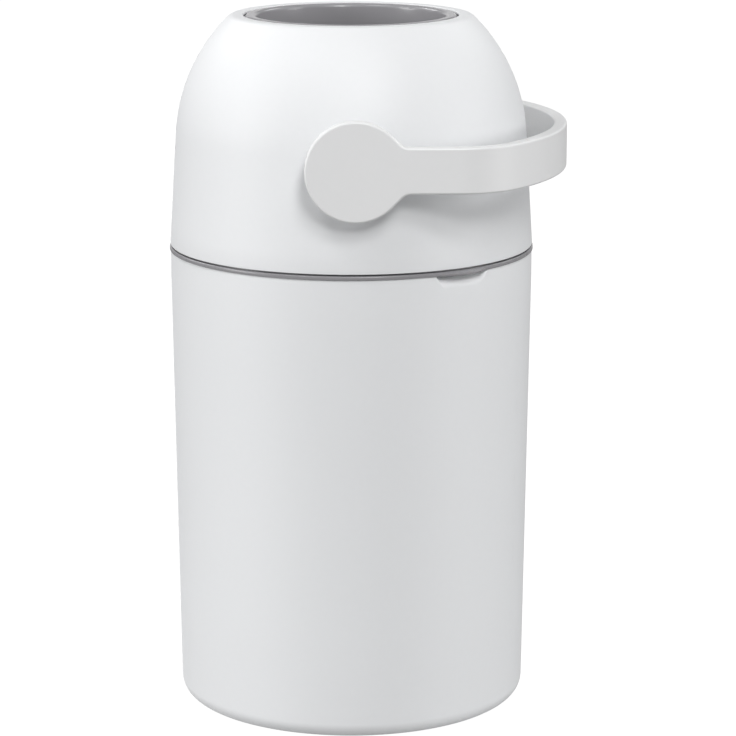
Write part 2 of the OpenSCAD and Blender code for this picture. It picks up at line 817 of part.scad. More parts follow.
// The lug that stops the drum's turn, hanging below the axis at rest
module stop_lug() {
    root = sqrt(pow(drum_r - drum_wall / 2, 2) - pow(stop_r + stop_w / 2, 2));
    top = sqrt(pow(dome_inner_r - bearing_boss_gap, 2) - pow(stop_r + stop_w / 2, 2));
    rotate([0, 0, -90 - stop_lug_angle / 2]) rotate_extrude(angle = stop_lug_angle)
        translate([stop_r - stop_w / 2, root]) square([stop_w, top - root]);
}

module drum_shell_front() {
    color(grey) on_side(front) difference() {
        union() {
            half_shell();
            pole_boss();
            shell_ribs();
            shell_screw_places() cylinder(r = shell_boss_r, h = shell_boss_h);
            stop_lug();
        }
        pole_bores();
        shell_screw_places() translate([0, 0, -lap])
            cylinder(r = screw_r + pilot_fit, h = shell_boss_h - pilot_floor + lap);
    }
}

module drum_shell_back() {
    color(grey) on_side(back) difference() {
        union() {
            half_shell();
            pole_boss();
            shell_ribs();
            intersection() {
                shell_screw_places() cylinder(r = shell_boss_r, h = far / 2);
                sphere(r = drum_r);
            }
        }
        pole_bores();
        shell_screw_places() translate([0, 0, -lap]) cylinder(r = screw_r + screw_fit, h = far / 2);
        shell_screw_places() translate([0, 0, shell_screw_floor])
            cylinder(r = screw_head_r + screw_fit, h = far / 2);
    }
}

module shell_screws() {
    color(steel) on_side(back) shell_screw_places() {
        translate([0, 0, shell_screw_floor]) cylinder(r = screw_head_r, h = screw_head_h);
        translate([0, 0, shell_screw_floor + lap - screw_l]) cylinder(r = screw_r, h = screw_l);
    }
}

module chute_tube() {
    color(grey) ring(chute_r, chute_outer_r, pivot_z - chute_end, pivot_z + chute_end);
}

// Half section of the upper rim, which caps the chute, lines its end and fills the shell's hole.
// Its outer edge bends off the drum's ball.
module rim_section() {
    lean = acos((rim_crest - rim_round) / (drum_r - rim_round));
    bend = polar(drum_r - rim_round, lean);
    inner = min(rim_inner_round, bend[0] - rim_bore_r);
    polygon(concat(
        [[rim_bore_r, piston_stop], [chute_r - fit, piston_stop], [chute_r - fit, chute_end]],
        [[chute_outer_r + fit, chute_end], [chute_outer_r + fit, rim_foot]],
        [[rim_outer_r, rim_foot], [rim_outer_r, rim_crest - rim_rise]],
        arc(bend, rim_round, 90 - lean, 90),
        arc([rim_bore_r + inner, rim_crest - inner], inner, 90, 180)
    ));
}

module chute_rim_top() {
    color(grey) revolve_at_pivot() rim_section();
}

module chute_rim_bottom() {
    color(grey) revolve_at_pivot() mirror([0, 1]) rim_section();
}

// Stepped hub that joins the drum to the handle through the dome's bush
module pivot_hub(side) {
    color(grey) on_side(side) difference() {
        union() {
            translate([0, 0, key_end]) cylinder(r = hub_key_r, h = hub_key_h + lap, $fn = 6);
            translate([0, 0, key_seat]) cylinder(r = hub_r, h = hub_flange_in - key_seat);
            translate([0, 0, hub_flange_in]) cylinder(r = hub_flange_r, h = hub_flange_t);
            translate([0, 0, disc_back - lap]) cylinder(r = hub_nose_r, h = hub_nose_h + lap, $fn = 6);
        }
        translate([0, 0, key_end - lap]) cylinder(r = hub_screw_r + screw_fit, h = far);
        translate([0, 0, screw_seat]) cylinder(r = hub_screw_head_r + screw_fit, h = far);
    }
}

module pivot_hub_front() {
    pivot_hub(front);
}

module pivot_hub_back() {
    pivot_hub(back);
}

module hub_screws() {
    tip = key_end - hub_screw_bite;
    color(steel) for (side = [front, back]) on_side(side) {
        translate([0, 0, screw_seat]) cylinder(r = hub_screw_head_r, h = hub_screw_head_h);
        translate([0, 0, tip]) cylinder(r = hub_screw_r, h = screw_seat + lap - tip);
    }
}

// ---- Handle ----

// The handle's outline from above, from the drum's axis to the grip, or its inside when shrunk
module handle_plan(shrink) {
    edge_y = handle_half_w - shrink;
    translate([0, -edge_y]) square([bend_x, 2 * edge_y]);
    for (y = [bend_y, -bend_y])
        translate([bend_x, y]) circle(r = bend_r - shrink);
    translate([grip_centre_x, 0]) intersection() {
        circle(r = grip_r - shrink);
        polygon([[0, 0], far * polar(1, 90 + bend_angle), far * polar(1, 90 - bend_angle)]);
    }
}

// The flat disc and the neck that widens it into the arm, drawn with +Z outwards
module handle_disc() {
    corner = disc_r * sqrt(0.5);
    edge = handle_edge_r;
    low = arm_rise - arm_w / 2;
    high = arm_rise + arm_w / 2;
    back_off = neck_fillet_r * tan(22.5);
    join_high = 2 * corner - high;
    join_low = 2 * corner + low;
    translate([0, 0, disc_back]) {
        rotate_extrude() polygon(concat(
            [[0, 0]],
            arc([disc_r - edge, edge], edge, -90, 0, edge_steps),
            arc([disc_r - edge, handle_t - edge], edge, 0, 90, edge_steps),
            [[0, handle_t]]
        ));
        translate([0, 0, edge / 2]) linear_extrude(handle_t - edge) polygon(concat(
            [[0, 0], [corner, corner]],
            arc([join_high + back_off, high + neck_fillet_r], neck_fillet_r, -135, -90, 6),
            [[bend_x, high - edge], [bend_x, low + edge]],
            arc([join_low + back_off, low - neck_fillet_r], neck_fillet_r, 90, 135, 6),
            [[corner, -corner]]
        ));
    }
}

module handle() {
    color(white) difference() {
        union() {
            for (side = [front, back]) on_side(side) handle_disc();
            translate([0, 0, pivot_z + arm_rise - arm_w / 2]) linear_extrude(arm_w) difference() {
                handle_plan(0);
                handle_plan(handle_t);
            }
        }
        for (side = [front, back]) on_side(side) translate([0, 0, disc_back - lap])
            cylinder(r = hub_nose_r + fit, h = hub_nose_h + lap + 2 * fit, $fn = 6);
    }
}

// ---- Piston ----

// Children drawn from the piston's lower face, or hung from its upper face
module piston_end(top) {
    translate([0, 0, piston_z + (top ? piston_h : 0)]) mirror([0, 0, top ? 1 : 0]) children();
}

module piston_cap(top) {
    edge = min(cap_t / 2, cap_round);
    color(grey) piston_end(top) rotate_extrude() {
        square([piston_r - edge, cap_t]);
        translate([0, edge]) square([piston_r, cap_t - edge]);
        translate([piston_r - edge, edge]) circle(r = edge);
        square([spigot_r, body_low]);
    }
}

module piston_cap_top() {
    piston_cap(true);
}

module piston_cap_bottom() {
    piston_cap(false);
}

// A soft ring that thins towards its edge
module piston_wiper(top) {
    middle = cap_t + wiper_t / 2;
    color(dark) piston_end(top) rotate_extrude() polygon([
        [spigot_r + fit, cap_t],
        [piston_r - wiper_edge_t, cap_t],
        [wiper_r, middle - wiper_edge_t / 2],
        [wiper_r, middle + wiper_edge_t / 2],
        [piston_r - wiper_edge_t, body_low],
        [spigot_r + fit, body_low]
    ]);
}

module piston_wiper_top() {
    piston_wiper(true);
}

module piston_wiper_bottom() {
    piston_wiper(false);
}

module piston_body() {
    low = piston_z + body_low;
    high = piston_z + piston_h - body_low;
    color(grey) {
        ring(piston_r - piston_wall, piston_r, low, high);
        ring(spigot_r + fit, piston_r - piston_wall / 2, low, low + piston_wall);
        ring(spigot_r + fit, piston_r - piston_wall / 2, high - piston_wall, high);
    }
}

module piston_weight() {
    color(steel) translate([0, 0, piston_z + body_low]) cylinder(r = weight_r, h = weight_t);
}

bucket();
base_pads();
bag_ring();
hinge_pin();
head_base();
dome();
dome_screws();
mouth_seal();
outlet_seal();
rim_gasket();
bearing_bush_front();
bearing_bush_back();
drum_shell_front();
drum_shell_back();
shell_screws();
chute_tube();
chute_rim_top();
chute_rim_bottom();
pivot_hub_front();
pivot_hub_back();
hub_screws();
handle();
piston_body();
piston_cap_top();
piston_cap_bottom();
piston_wiper_top();
piston_wiper_bottom();
piston_weight();
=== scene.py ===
import json
import math

import bmesh
import bpy
from mathutils import Matrix, Vector


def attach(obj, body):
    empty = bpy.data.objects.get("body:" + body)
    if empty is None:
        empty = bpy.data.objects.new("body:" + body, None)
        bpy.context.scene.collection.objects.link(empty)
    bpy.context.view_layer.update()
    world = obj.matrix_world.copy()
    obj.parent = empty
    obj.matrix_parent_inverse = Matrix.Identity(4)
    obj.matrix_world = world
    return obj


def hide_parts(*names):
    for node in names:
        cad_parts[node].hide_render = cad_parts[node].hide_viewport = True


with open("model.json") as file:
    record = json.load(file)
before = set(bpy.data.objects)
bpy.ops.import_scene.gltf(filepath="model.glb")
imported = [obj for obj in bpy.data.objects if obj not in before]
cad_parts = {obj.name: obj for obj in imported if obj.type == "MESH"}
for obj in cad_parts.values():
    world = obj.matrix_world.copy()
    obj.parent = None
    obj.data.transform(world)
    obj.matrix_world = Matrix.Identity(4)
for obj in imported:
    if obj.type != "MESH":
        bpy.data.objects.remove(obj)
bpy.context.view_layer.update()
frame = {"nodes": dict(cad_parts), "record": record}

# Lengths are in millimetres until a piece is finished, which scales it to metres.
MM = 0.001

# ---- Places from the frame ----

joints = {j["name"]: j for j in frame["record"]["behaviour"]["joints"]}
PIVOT_Z = joints["drum_turn"]["pos_m"][2] / MM
HINGE = Vector(joints["head_hinge"]["pos_m"]) / MM
HINGE_PLACE = HINGE.xy.length
TAB_ANGLE = math.atan2(-HINGE.y, -HINGE.x)

# ---- Driving dimensions ----

# Bucket: its straight band below the rim, and the taper from there to the foot
BUCKET_H = 355.0
BUCKET_R = 139.2
BUCKET_BAND = 20.0
BUCKET_TAPER = 5.0
BUCKET_WALL = 2.6
FOOT_ROUND = 12.6
FLOOR_T = 3.0
LEDGE_R = 128.6
LEDGE_Z = 341.0
LEDGE_T = 3.0
BUCKET_EDGE = 0.45
BUCKET_EDGE_BAND = 0.8

# Finger scoop in the bucket's rim: each side fades over its own width, and the foot by a power
SCOOP_W = 45.0
SCOOP_LOW_W = 30.0
SCOOP_H = 12.0
SCOOP_DEPTH = 6.5
SCOOP_WALL = 2.0
SCOOP_SIDE = 1.6
SCOOP_FAR_SIDE = 7.0
SCOOP_CURVE = 3.0
SCOOP_BELOW = 1.0
SCOOP_SPAN = math.radians(21.0)
SCOOP_COLUMNS = 84

# Drum, with heights from its axis: the rim's edge lies on the drum's ball, its crest just above
DRUM_R = 126.0
CHUTE_R = 75.0
CHUTE_WALL = 2.5
CHUTE_FIT = 0.1
RIM_OUTER_R = 80.5
RIM_BORE_R = 72.2
RIM_RISE = 1.2
RIM_TOP_T = 6.0
RIM_SKIRT_H = 7.0
RIM_SLEEVE_H = 12.0
RIM_ROUND = 2.0
RIM_BORE_ROUND = 2.9
RIM_EDGE = math.sqrt(DRUM_R ** 2 - RIM_OUTER_R ** 2)
RIM_CREST = RIM_EDGE + RIM_RISE
CHUTE_END = RIM_CREST - RIM_TOP_T
RIM_FOOT = CHUTE_END - RIM_SKIRT_H
PISTON_STOP = CHUTE_END - RIM_SLEEVE_H

# Dome: a ball on a skirt that widens down to the foot
DOME_R = 134.6
DOME_FOOT_R = 139.5
DOME_WALL = 2.6
MOUTH_R = 82.0
LIP_R = 7.0
LIP_TOP = RIM_CREST + 0.1

# Ring under the dome, with its lift tab, the dish round the drum, the skirt and the collar.
# TAB_ROWS are heights of points near the level at which the tab's top starts to slope
RING_R = 140.0
RING_T = 3.0
RING_TOP = BUCKET_H + RING_T
RING_ROUND = 1.1
TAB_REACH = 4.5
TAB_EDGE_T = 1.2
TAB_SLOPE = 3.6
TAB_ROOT = 1.0
TAB_ROWS = (-0.35, 0.0, 0.25, 0.5)
OUTLET_R = 84.0
DISH_R = DRUM_R + 1.5
DISH_T = 3.0
SKIRT_R = BUCKET_R - SCOOP_DEPTH - SCOOP_WALL - 1.1
SKIRT_T = 2.0
SKIRT_H = 10.0
COLLAR_R = DOME_FOOT_R - DOME_WALL - 0.5
COLLAR_T = 2.6
COLLAR_H = 6.0
GROOVE_LIP = 1.5
GROOVE_DEPTH = 1.2
DOME_FOOT_Z = RING_TOP + 1.2

# Bearings and hubs, along the drum's axis from its middle
BEARING_IN = DRUM_R + 1.6
BEARING_OUT = DOME_R + 1.8
BUSH_R = 17.05
BUSH_FLANGE_R = 22.05
BUSH_FACE = BEARING_OUT + 1.5
BUSH_FIT = 0.02
HUB_R = 14.0
HUB_PLAY = 0.05
HUB_FLANGE_R = 21.0
HUB_FLANGE_IN = BUSH_FACE + 0.3
HUB_KEY_R = 8.6
HUB_SEAT = DRUM_R - 2.0
HUB_KEY_END = HUB_SEAT - 9.5
HUB_NOSE_R = 10.0
HUB_NOSE_H = 5.6
DISC_BACK = HUB_FLANGE_IN + 4.2

# Carrying handle: two straight arms, two bends and a slightly curved grip
HANDLE_T = 10.0
HANDLE_HALF_W = DISC_BACK + HANDLE_T
HANDLE_REACH = 165.0
HANDLE_EDGE = 1.7
ARM_W = 34.0
ARM_RISE = 0.9
DISC_R = 37.1
BEND_R = 55.0
BEND_STEP = 2.5
GRIP_R = 210.0
NECK_FILLET = 10.0

# Piston
PISTON_R = 73.4
PISTON_H = 36.0
WIPER_T = 2.5
SPIGOT_R = 60.0
CAP_T = 3.0
CAP_ROUND = 1.5
CAP_RIM_W = 10.0
CAP_SLOPE_W = 2.0
CAP_SLOPE_ROUND = 2.0
CAP_HOLLOW = 0.4

# Hinge of the head: its web, arms and heels run into the knuckles and stop short of the pin
PIN_R = 2.0
PIN_PLAY = 0.05
KNUCKLE_R = 5.0
KNUCKLE_W = 24.0
EAR_W = 8.6
EAR_START = KNUCKLE_W / 2 + 0.4
EAR_END = EAR_START + EAR_W
EAR_ROOT = 1.5
HEEL_REACH = 10.6
HEEL_T = 5.0
BRACKET_T = 6.0
BRACKET_GAP = 0.4
BRACKET_TOP = HINGE.z - HEEL_REACH - BRACKET_GAP
WEB_T = 8.0
WEB_ROOT = 1.0
WEB_STOP = PIN_R + 0.4
ARM_STOP = PIN_R + 0.2
HEEL_STOP = PIN_R + 0.4

# Small rounds on edges
EDGE_CRISP = 0.2
EDGE_FINE = 0.3
EDGE_SMALL = 0.4
EDGE_SOFT = 0.5
EDGE_EASY = 0.6
EDGE_FULL = 0.8

# Columns of a solid of revolution
LARGE_ROUND = 256
SCOOPED_ROUND = 220
CAP_COLUMNS = 128
SMALL_ROUND = 96
KNUCKLE_ROUND = 48

# Angles, in degrees, past which an edge is shaded as a crease
CREASE = 34.0
HANDLE_CREASE = 50.0

# How near points count as one: merged, snapped to a cut, or on the bucket's inner wall
MERGE = 1e-3
CUT_SNAP = 1e-5
ON_WALL = 0.01


# ---- Paint ----

class Signal:
    """A value that varies over a surface. Sums and products of signals add Math nodes."""

    def __init__(self, paint, socket):
        self.paint = paint
        self.socket = socket

    def maths(self, operation, first, second):
        return self.paint.node("ShaderNodeMath", {"operation": operation}, {0: first, 1: second})

    def __add__(self, other):
        return self.maths("ADD", self, other)

    def __radd__(self, other):
        return self.maths("ADD", other, self)

    def __mul__(self, other):
        return self.maths("MULTIPLY", self, other)

    def __rmul__(self, other):
        return self.maths("MULTIPLY", other, self)


class Paint:
    """The shader nodes of one material or world."""

    def __init__(self, owner):
        owner.use_nodes = True
        self.owner = owner
        self.tree = owner.node_tree
        self.tree.nodes.clear()

    def node(self, kind, settings, sockets, out=0):
        """Any node: its settings first, then the values or links of its sockets, by name or number."""
        made = self.tree.nodes.new(kind)
        for key, value in settings.items():
            setattr(made, key, value)
        for key, value in sockets.items():
            if isinstance(value, Signal):
                self.tree.links.new(value.socket, made.inputs[key])
            else:
                made.inputs[key].default_value = value
        return Signal(self, made.outputs[out]) if made.outputs else None

    def finish(self, shader, kind="ShaderNodeOutputMaterial"):
        """Links the last shader to the output, and hands back the material or world."""
        self.node(kind, {}, {"Surface": shader})
        return self.owner

    def surface(self, sockets):
        return self.finish(self.node("ShaderNodeBsdfPrincipled", {}, sockets))

    def place(self):
        return self.node("ShaderNodeTexCoord", {}, {}, out="Object")

    def noise(self, scale, detail, roughness):
        sockets = {"Vector": self.place(), "Scale": scale, "Detail": detail, "Roughness": roughness}
        return self.node("ShaderNodeTexNoise", {}, sockets)

    def bump(self, height, distance):
        return self.node("ShaderNodeBump", {}, {"Height": height, "Distance": distance})

    def mix_colours(self, factor, first, second):
        """Blends two colours. A Mix node's socket names repeat, so its sockets go by number."""
        sockets = {0: factor, 6: (*first, 1.0), 7: (*second, 1.0)}
        return self.node("ShaderNodeMix", {"data_type": "RGBA"}, sockets, out=2)

    def mix_shaders(self, factor, first, second):
        return self.node("ShaderNodeMixShader", {}, {0: factor, 1: first, 2: second})


def moulded_plastic(name, colour, shade, roughness, grain):
    """Satin moulded plastic: a fine eroded grain, a faint mottle and a slow drift of tone."""
    paint = Paint(bpy.data.materials.new(name))
    fine = paint.noise(scale=2600.0, detail=3.0, roughness=0.6)
    mottle = paint.noise(scale=240.0, detail=2.0, roughness=0.5)
    drift = paint.noise(scale=7.0, detail=1.0, roughness=0.4)
    return paint.surface({
        "Base Color": paint.mix_colours(drift * 0.6 + mottle * 0.4, colour, shade),
        "Roughness": roughness - 0.05 + fine * 0.06 + mottle * 0.04,
        "Normal": paint.bump(fine * 0.8 + mottle * 0.2, grain),
        "IOR": 1.49,
    })


def soft_rubber(name, colour):
    """Matt rubber with a dusty bloom."""
    paint = Paint(bpy.data.materials.new(name))
    fine = paint.noise(scale=1800.0, detail=4.0, roughness=0.6)
    bloom = paint.noise(scale=60.0, detail=3.0, roughness=0.55)
    dusty = tuple(c * 1.6 + 0.01 for c in colour)
    return paint.surface({
        "Base Color": paint.mix_colours(bloom, colour, dusty),
        "Roughness": 0.62 + bloom * 0.2,
        "Normal": paint.bump(fine, 0.00006),
    })


def plated_steel(name):
    """Zinc-plated steel: faint mottled crystals and fine turning marks."""
    paint = Paint(bpy.data.materials.new(name))
    crystals = paint.node("ShaderNodeTexVoronoi", {}, {"Vector": paint.place(), "Scale": 900.0})
    marks = paint.noise(scale=1500.0, detail=2.0, roughness=0.5)
    return paint.surface({
        "Base Color": paint.mix_colours(crystals, (0.56, 0.57, 0.58), (0.68, 0.68, 0.67)),
        "Metallic": 1.0,
        "Roughness": 0.26 + marks * 0.16,
        "Normal": paint.bump(marks, 0.00003),
    })


# Each plastic: name, colour, its darker drift, roughness and the height of its grain in metres
WHITE = moulded_plastic("satin_white", (0.84, 0.85, 0.862), (0.80, 0.81, 0.822), 0.52, 0.00003)
HANDLE_WHITE = moulded_plastic("handle_white", (0.835, 0.837, 0.84), (0.80, 0.803, 0.807), 0.44, 0.00004)
GREY = moulded_plastic("satin_grey", (0.335, 0.33, 0.345), (0.31, 0.305, 0.32), 0.24, 0.00002)
RING_GREY = moulded_plastic("ring_grey", (0.285, 0.28, 0.294), (0.265, 0.26, 0.273), 0.28, 0.00002)
INNER_GREY = moulded_plastic("inner_grey", (0.355, 0.35, 0.365), (0.33, 0.325, 0.34), 0.36, 0.00005)
RUBBER = soft_rubber("seal_rubber", (0.025, 0.025, 0.027))
STEEL = plated_steel("plated_steel")


# ---- Outlines and solids ----

def on_circle(centre, radius, angle):
    """The point of a circle in the outline's plane, with the angle in degrees."""
    a = math.radians(angle)
    return (centre[0] + radius * math.cos(a), centre[1] + radius * math.sin(a))


def arc(centre, radius, start, end, steps):
    return [on_circle(centre, radius, start + (end - start) * i / steps) for i in range(steps + 1)]


def levels(low, high, steps):
    """Points that divide a straight stretch, without its ends."""
    a, b = Vector(low), Vector(high)
    return [tuple(a.lerp(b, i / steps)) for i in range(1, steps)]


def rounded(corners, closed=True, steps=4):
    """An outline whose corners, each (r, z) or (r, z, fillet), are rounded by their fillets."""
    points = []
    count = len(corners)
    for i, corner in enumerate(corners):
        here = Vector(corner[:2])
        fillet = corner[2] if len(corner) > 2 else 0.0
        if fillet <= 0 or (not closed and i in (0, count - 1)):
            points.append(tuple(here))
            continue
        back = (Vector(corners[i - 1][:2]) - here).normalized()
        on = (Vector(corners[(i + 1) % count][:2]) - here).normalized()
        half = back.angle(on) / 2
        centre = here + (back + on).normalized() * fillet / math.sin(half)
        first = here + back * fillet / math.tan(half) - centre
        last = here + on * fillet / math.tan(half) - centre
        for k in range(steps + 1):
            points.append(tuple(centre + first.slerp(last, k / steps).normalized() * fillet))
    return points


def spin_outline(outline, steps, closed=True, fine=None):
    """A solid of revolution about Z. fine is (middle, span, steps) of a stretch with denser columns."""
    middle, span, fine_steps = fine or (0.0, 0.0, 0)
    bm = bmesh.new()
    turn = Matrix.Rotation(middle - span / 2, 3, "Z")
    verts = [bm.verts.new(turn @ Vector((r, 0.0, z))) for r, z in outline]
    nexts = verts[1:] + verts[:1] if closed else verts[1:]
    geom = verts + [bm.edges.new(pair) for pair in zip(verts, nexts)]
    if fine:
        first = bmesh.ops.spin(bm, geom=geom, axis=(0, 0, 1), angle=span, steps=fine_steps)
        geom = first["geom_last"]
    bmesh.ops.spin(
        bm, geom=geom, axis=(0, 0, 1), angle=math.tau - span, steps=steps, use_merge=not fine,
    )
    bmesh.ops.remove_doubles(bm, verts=bm.verts, dist=MERGE)
    return bm


def block(low, high, edge):
    """A box between two corners, with its edges rounded."""
    bm = bmesh.new()
    bmesh.ops.create_cube(bm, size=1.0)
    low, high = Vector(low), Vector(high)
    bmesh.ops.scale(bm, vec=high - low, verts=bm.verts)
    bmesh.ops.translate(bm, vec=(low + high) / 2, verts=bm.verts)
    round_edges(bm, bm.edges[:], edge, segments=3)
    return bm


def round_edges(bm, edges, offset, segments):
    bmesh.ops.bevel(
        bm, geom=edges, offset=offset, segments=segments, profile=0.5, affect="EDGES", material=-1,
    )


def joined(parts):
    """One bmesh that holds several."""
    whole = bmesh.new()
    for part in parts:
        carrier = bpy.data.meshes.new("carrier")
        part.to_mesh(carrier)
        part.free()
        whole.from_mesh(carrier)
        bpy.data.meshes.remove(carrier)
    return whole


def piece(name, bm, body, material, nodes=(), crease=CREASE):
    """Finishes a mesh: clean normals, creases, metres, its material, its body and its nodes."""
    bmesh.ops.remove_doubles(bm, verts=bm.verts, dist=MERGE)
    bmesh.ops.recalc_face_normals(bm, faces=bm.faces)
    for face in bm.faces:
        face.smooth = True
    for edge in bm.edges:
        edge.smooth = len(edge.link_faces) == 2 and edge.calc_face_angle(0.0) < math.radians(crease)
    bm.transform(Matrix.Scale(MM, 4))
    mesh = bpy.data.meshes.new(name)
    bm.to_mesh(mesh)
    bm.free()
    mesh.materials.append(material)
    made = bpy.data.objects.new(name, mesh)
    bpy.context.scene.collection.objects.link(made)
    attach(made, body)
    if nodes:
        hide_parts(*nodes)
    return made


def weigh_normals(made):
    """Lets the large flat faces set the shading beside rounded edges."""
    modifier = made.modifiers.new("weighted", "WEIGHTED_NORMAL")
    modifier.keep_sharp = True
    modifier.weight = 90


def column(v):
    """Radius and angle from the tab's direction of a vertex."""
    away = math.atan2(v.co.y, v.co.x) - TAB_ANGLE
    return math.hypot(v.co.x, v.co.y), (away + math.pi) % math.tau - math.pi


def set_radius(v, radius):
    old = math.hypot(v.co.x, v.co.y)
    v.co.x *= radius / old
    v.co.y *= radius / old


def ease(x):
    x = min(max(x, 0.0), 1.0)
    return x * x * (3 - 2 * x)


# ---- Bucket ----

# The stretch round the tab has denser columns, for the scoop and the tab's lens
BESIDE_TAB = (TAB_ANGLE, SCOOP_SPAN, SCOOP_COLUMNS)


def scoop_depth(along, z):
    """How deep the finger scoop is at a distance along the rim and a height."""
    up = (z - BUCKET_H + SCOOP_H) / SCOOP_H
    if up <= 0:
        return 0.0
    half = (SCOOP_LOW_W + (SCOOP_W - SCOOP_LOW_W) * min(up, 1.0)) / 2
    side = SCOOP_SIDE if along < 0 else SCOOP_FAR_SIDE
    return SCOOP_DEPTH * min(up, 1.0) ** SCOOP_CURVE * ease((half - abs(along)) / side + 0.5)


def bucket():
    inner = BUCKET_R - BUCKET_WALL
    band_foot = BUCKET_H - BUCKET_BAND
    slope = BUCKET_TAPER / band_foot
    below_ledge = LEDGE_Z - LEDGE_T - (inner - LEDGE_R)
    wall_below = inner - slope * max(band_foot - below_ledge, 0.0)
    scoop_foot = BUCKET_H - SCOOP_H - SCOOP_BELOW
    edge_foot = BUCKET_H - BUCKET_EDGE_BAND
    foot = (BUCKET_R - BUCKET_TAPER, 0.0)
    corners = [
        (0.0, 0.0),
        (*foot, FOOT_ROUND),
        *levels(foot, (BUCKET_R, band_foot), steps=8)[1:],
        (BUCKET_R, band_foot),
        (BUCKET_R, scoop_foot),
        *levels((BUCKET_R, scoop_foot), (BUCKET_R, edge_foot), steps=26),
        (BUCKET_R, edge_foot),
        (BUCKET_R, BUCKET_H, BUCKET_EDGE),
        (inner, BUCKET_H, BUCKET_EDGE),
        *levels((inner, edge_foot), (inner, scoop_foot), steps=14),
        (inner, LEDGE_Z, EDGE_FINE),
        (LEDGE_R, LEDGE_Z, EDGE_SOFT),
        (LEDGE_R, LEDGE_Z - LEDGE_T, EDGE_SOFT),
        (wall_below, below_ledge, EDGE_FULL),
        (inner - BUCKET_TAPER + slope * FLOOR_T, FLOOR_T, FOOT_ROUND - BUCKET_WALL),
        (0.0, FLOOR_T),
    ]
    outline = rounded(corners, closed=False, steps=10)
    bm = spin_outline(outline, SCOOPED_ROUND, closed=False, fine=BESIDE_TAB)
    for v in bm.verts:
        r, away = column(v)
        if v.co.z < scoop_foot or r < inner - ON_WALL or abs(away) > SCOOP_SPAN / 2:
            continue
        depth = scoop_depth(away * BUCKET_R, v.co.z)
        if r > BUCKET_R - BUCKET_WALL / 2:
            set_radius(v, r - depth)
        else:
            set_radius(v, min(r, BUCKET_R - depth - SCOOP_WALL + r - inner))
    piece("bucket_shell", bm, "pail", WHITE, ["bucket"])


# The hinge is drawn with +X outwards and turned to its place

def turn_to_hinge(bm):
    bm.transform(Matrix.Rotation(math.atan2(HINGE.y, HINGE.x), 4, "Z"))
    return bm


def barrel(y_from, y_to, hole):
    """A knuckle along the hinge's axis."""
    length = y_to - y_from
    bm = spin_outline(rounded([
        (hole, 0.0, EDGE_CRISP),
        (KNUCKLE_R, 0.0, EDGE_SOFT),
        (KNUCKLE_R, length, EDGE_SOFT),
        (hole, length, EDGE_CRISP),
    ]), KNUCKLE_ROUND)
    lying = Matrix.Rotation(math.radians(-90), 4, "X")
    bm.transform(Matrix.Translation((HINGE_PLACE, y_from, HINGE.z)) @ lying)
    return bm


def hinge_bracket():
    """The plate on the bucket, the web that rises from it and the middle knuckle."""
    half = KNUCKLE_W / 2
    parts = [
        block(
            (BUCKET_R - BUCKET_WALL / 2, -EAR_END, BRACKET_TOP - BRACKET_T),
            (HINGE_PLACE + KNUCKLE_R, EAR_END, BRACKET_TOP),
            EDGE_FULL,
        ),
        block(
            (HINGE_PLACE - WEB_T / 2, -half, BRACKET_TOP - WEB_ROOT),
            (HINGE_PLACE + WEB_T / 2, half, HINGE.z - WEB_STOP),
            EDGE_SOFT,
        ),
        barrel(-half, half, PIN_R),
    ]
    piece("hinge_bracket", turn_to_hinge(joined(parts)), "pail", WHITE)


def hinge_ears():
    """The head's two ears, each with its arm to the ring and its heel."""
    parts = []
    for start in (EAR_START, -EAR_END):
        end = start + EAR_W
        parts.append(barrel(start, end, PIN_R + PIN_PLAY))
        parts.append(block(
            (RING_R - EAR_ROOT, start, BUCKET_H),
            (HINGE_PLACE - ARM_STOP, end, RING_TOP),
            EDGE_FINE,
        ))
        parts.append(block(
            (HINGE_PLACE + HEEL_STOP, start, HINGE.z - HEEL_T / 2),
            (HINGE_PLACE + HEEL_REACH, end, HINGE.z + HEEL_T / 2),
            EDGE_SOFT,
        ))
    piece("hinge_ears", turn_to_hinge(joined(parts)), "head", RING_GREY)


# ---- Head ----

def tab_radius(away, z):
    """Radius of the lift tab's lens outline at an angle from its middle and a height."""
    half = SCOOP_W / 2
    chord = math.sqrt(RING_R ** 2 - half ** 2)
    rise = RING_R + TAB_REACH - chord
    lens = (half ** 2 + rise ** 2) / (2 * rise)
    centre = RING_R + TAB_REACH - lens
    lens -= TAB_SLOPE * max(z - BUCKET_H - TAB_EDGE_T, 0.0) / (RING_T - TAB_EDGE_T)
    across = centre * math.sin(away)
    if abs(across) >= lens:
        return 0.0
    return centre * math.cos(away) + math.sqrt(lens ** 2 - across ** 2)


def ball_angle(height, radius):
    """Elevation, in degrees, of the point at a height on a ball round the drum's centre."""
    return math.degrees(math.asin((height - PIVOT_Z) / radius))


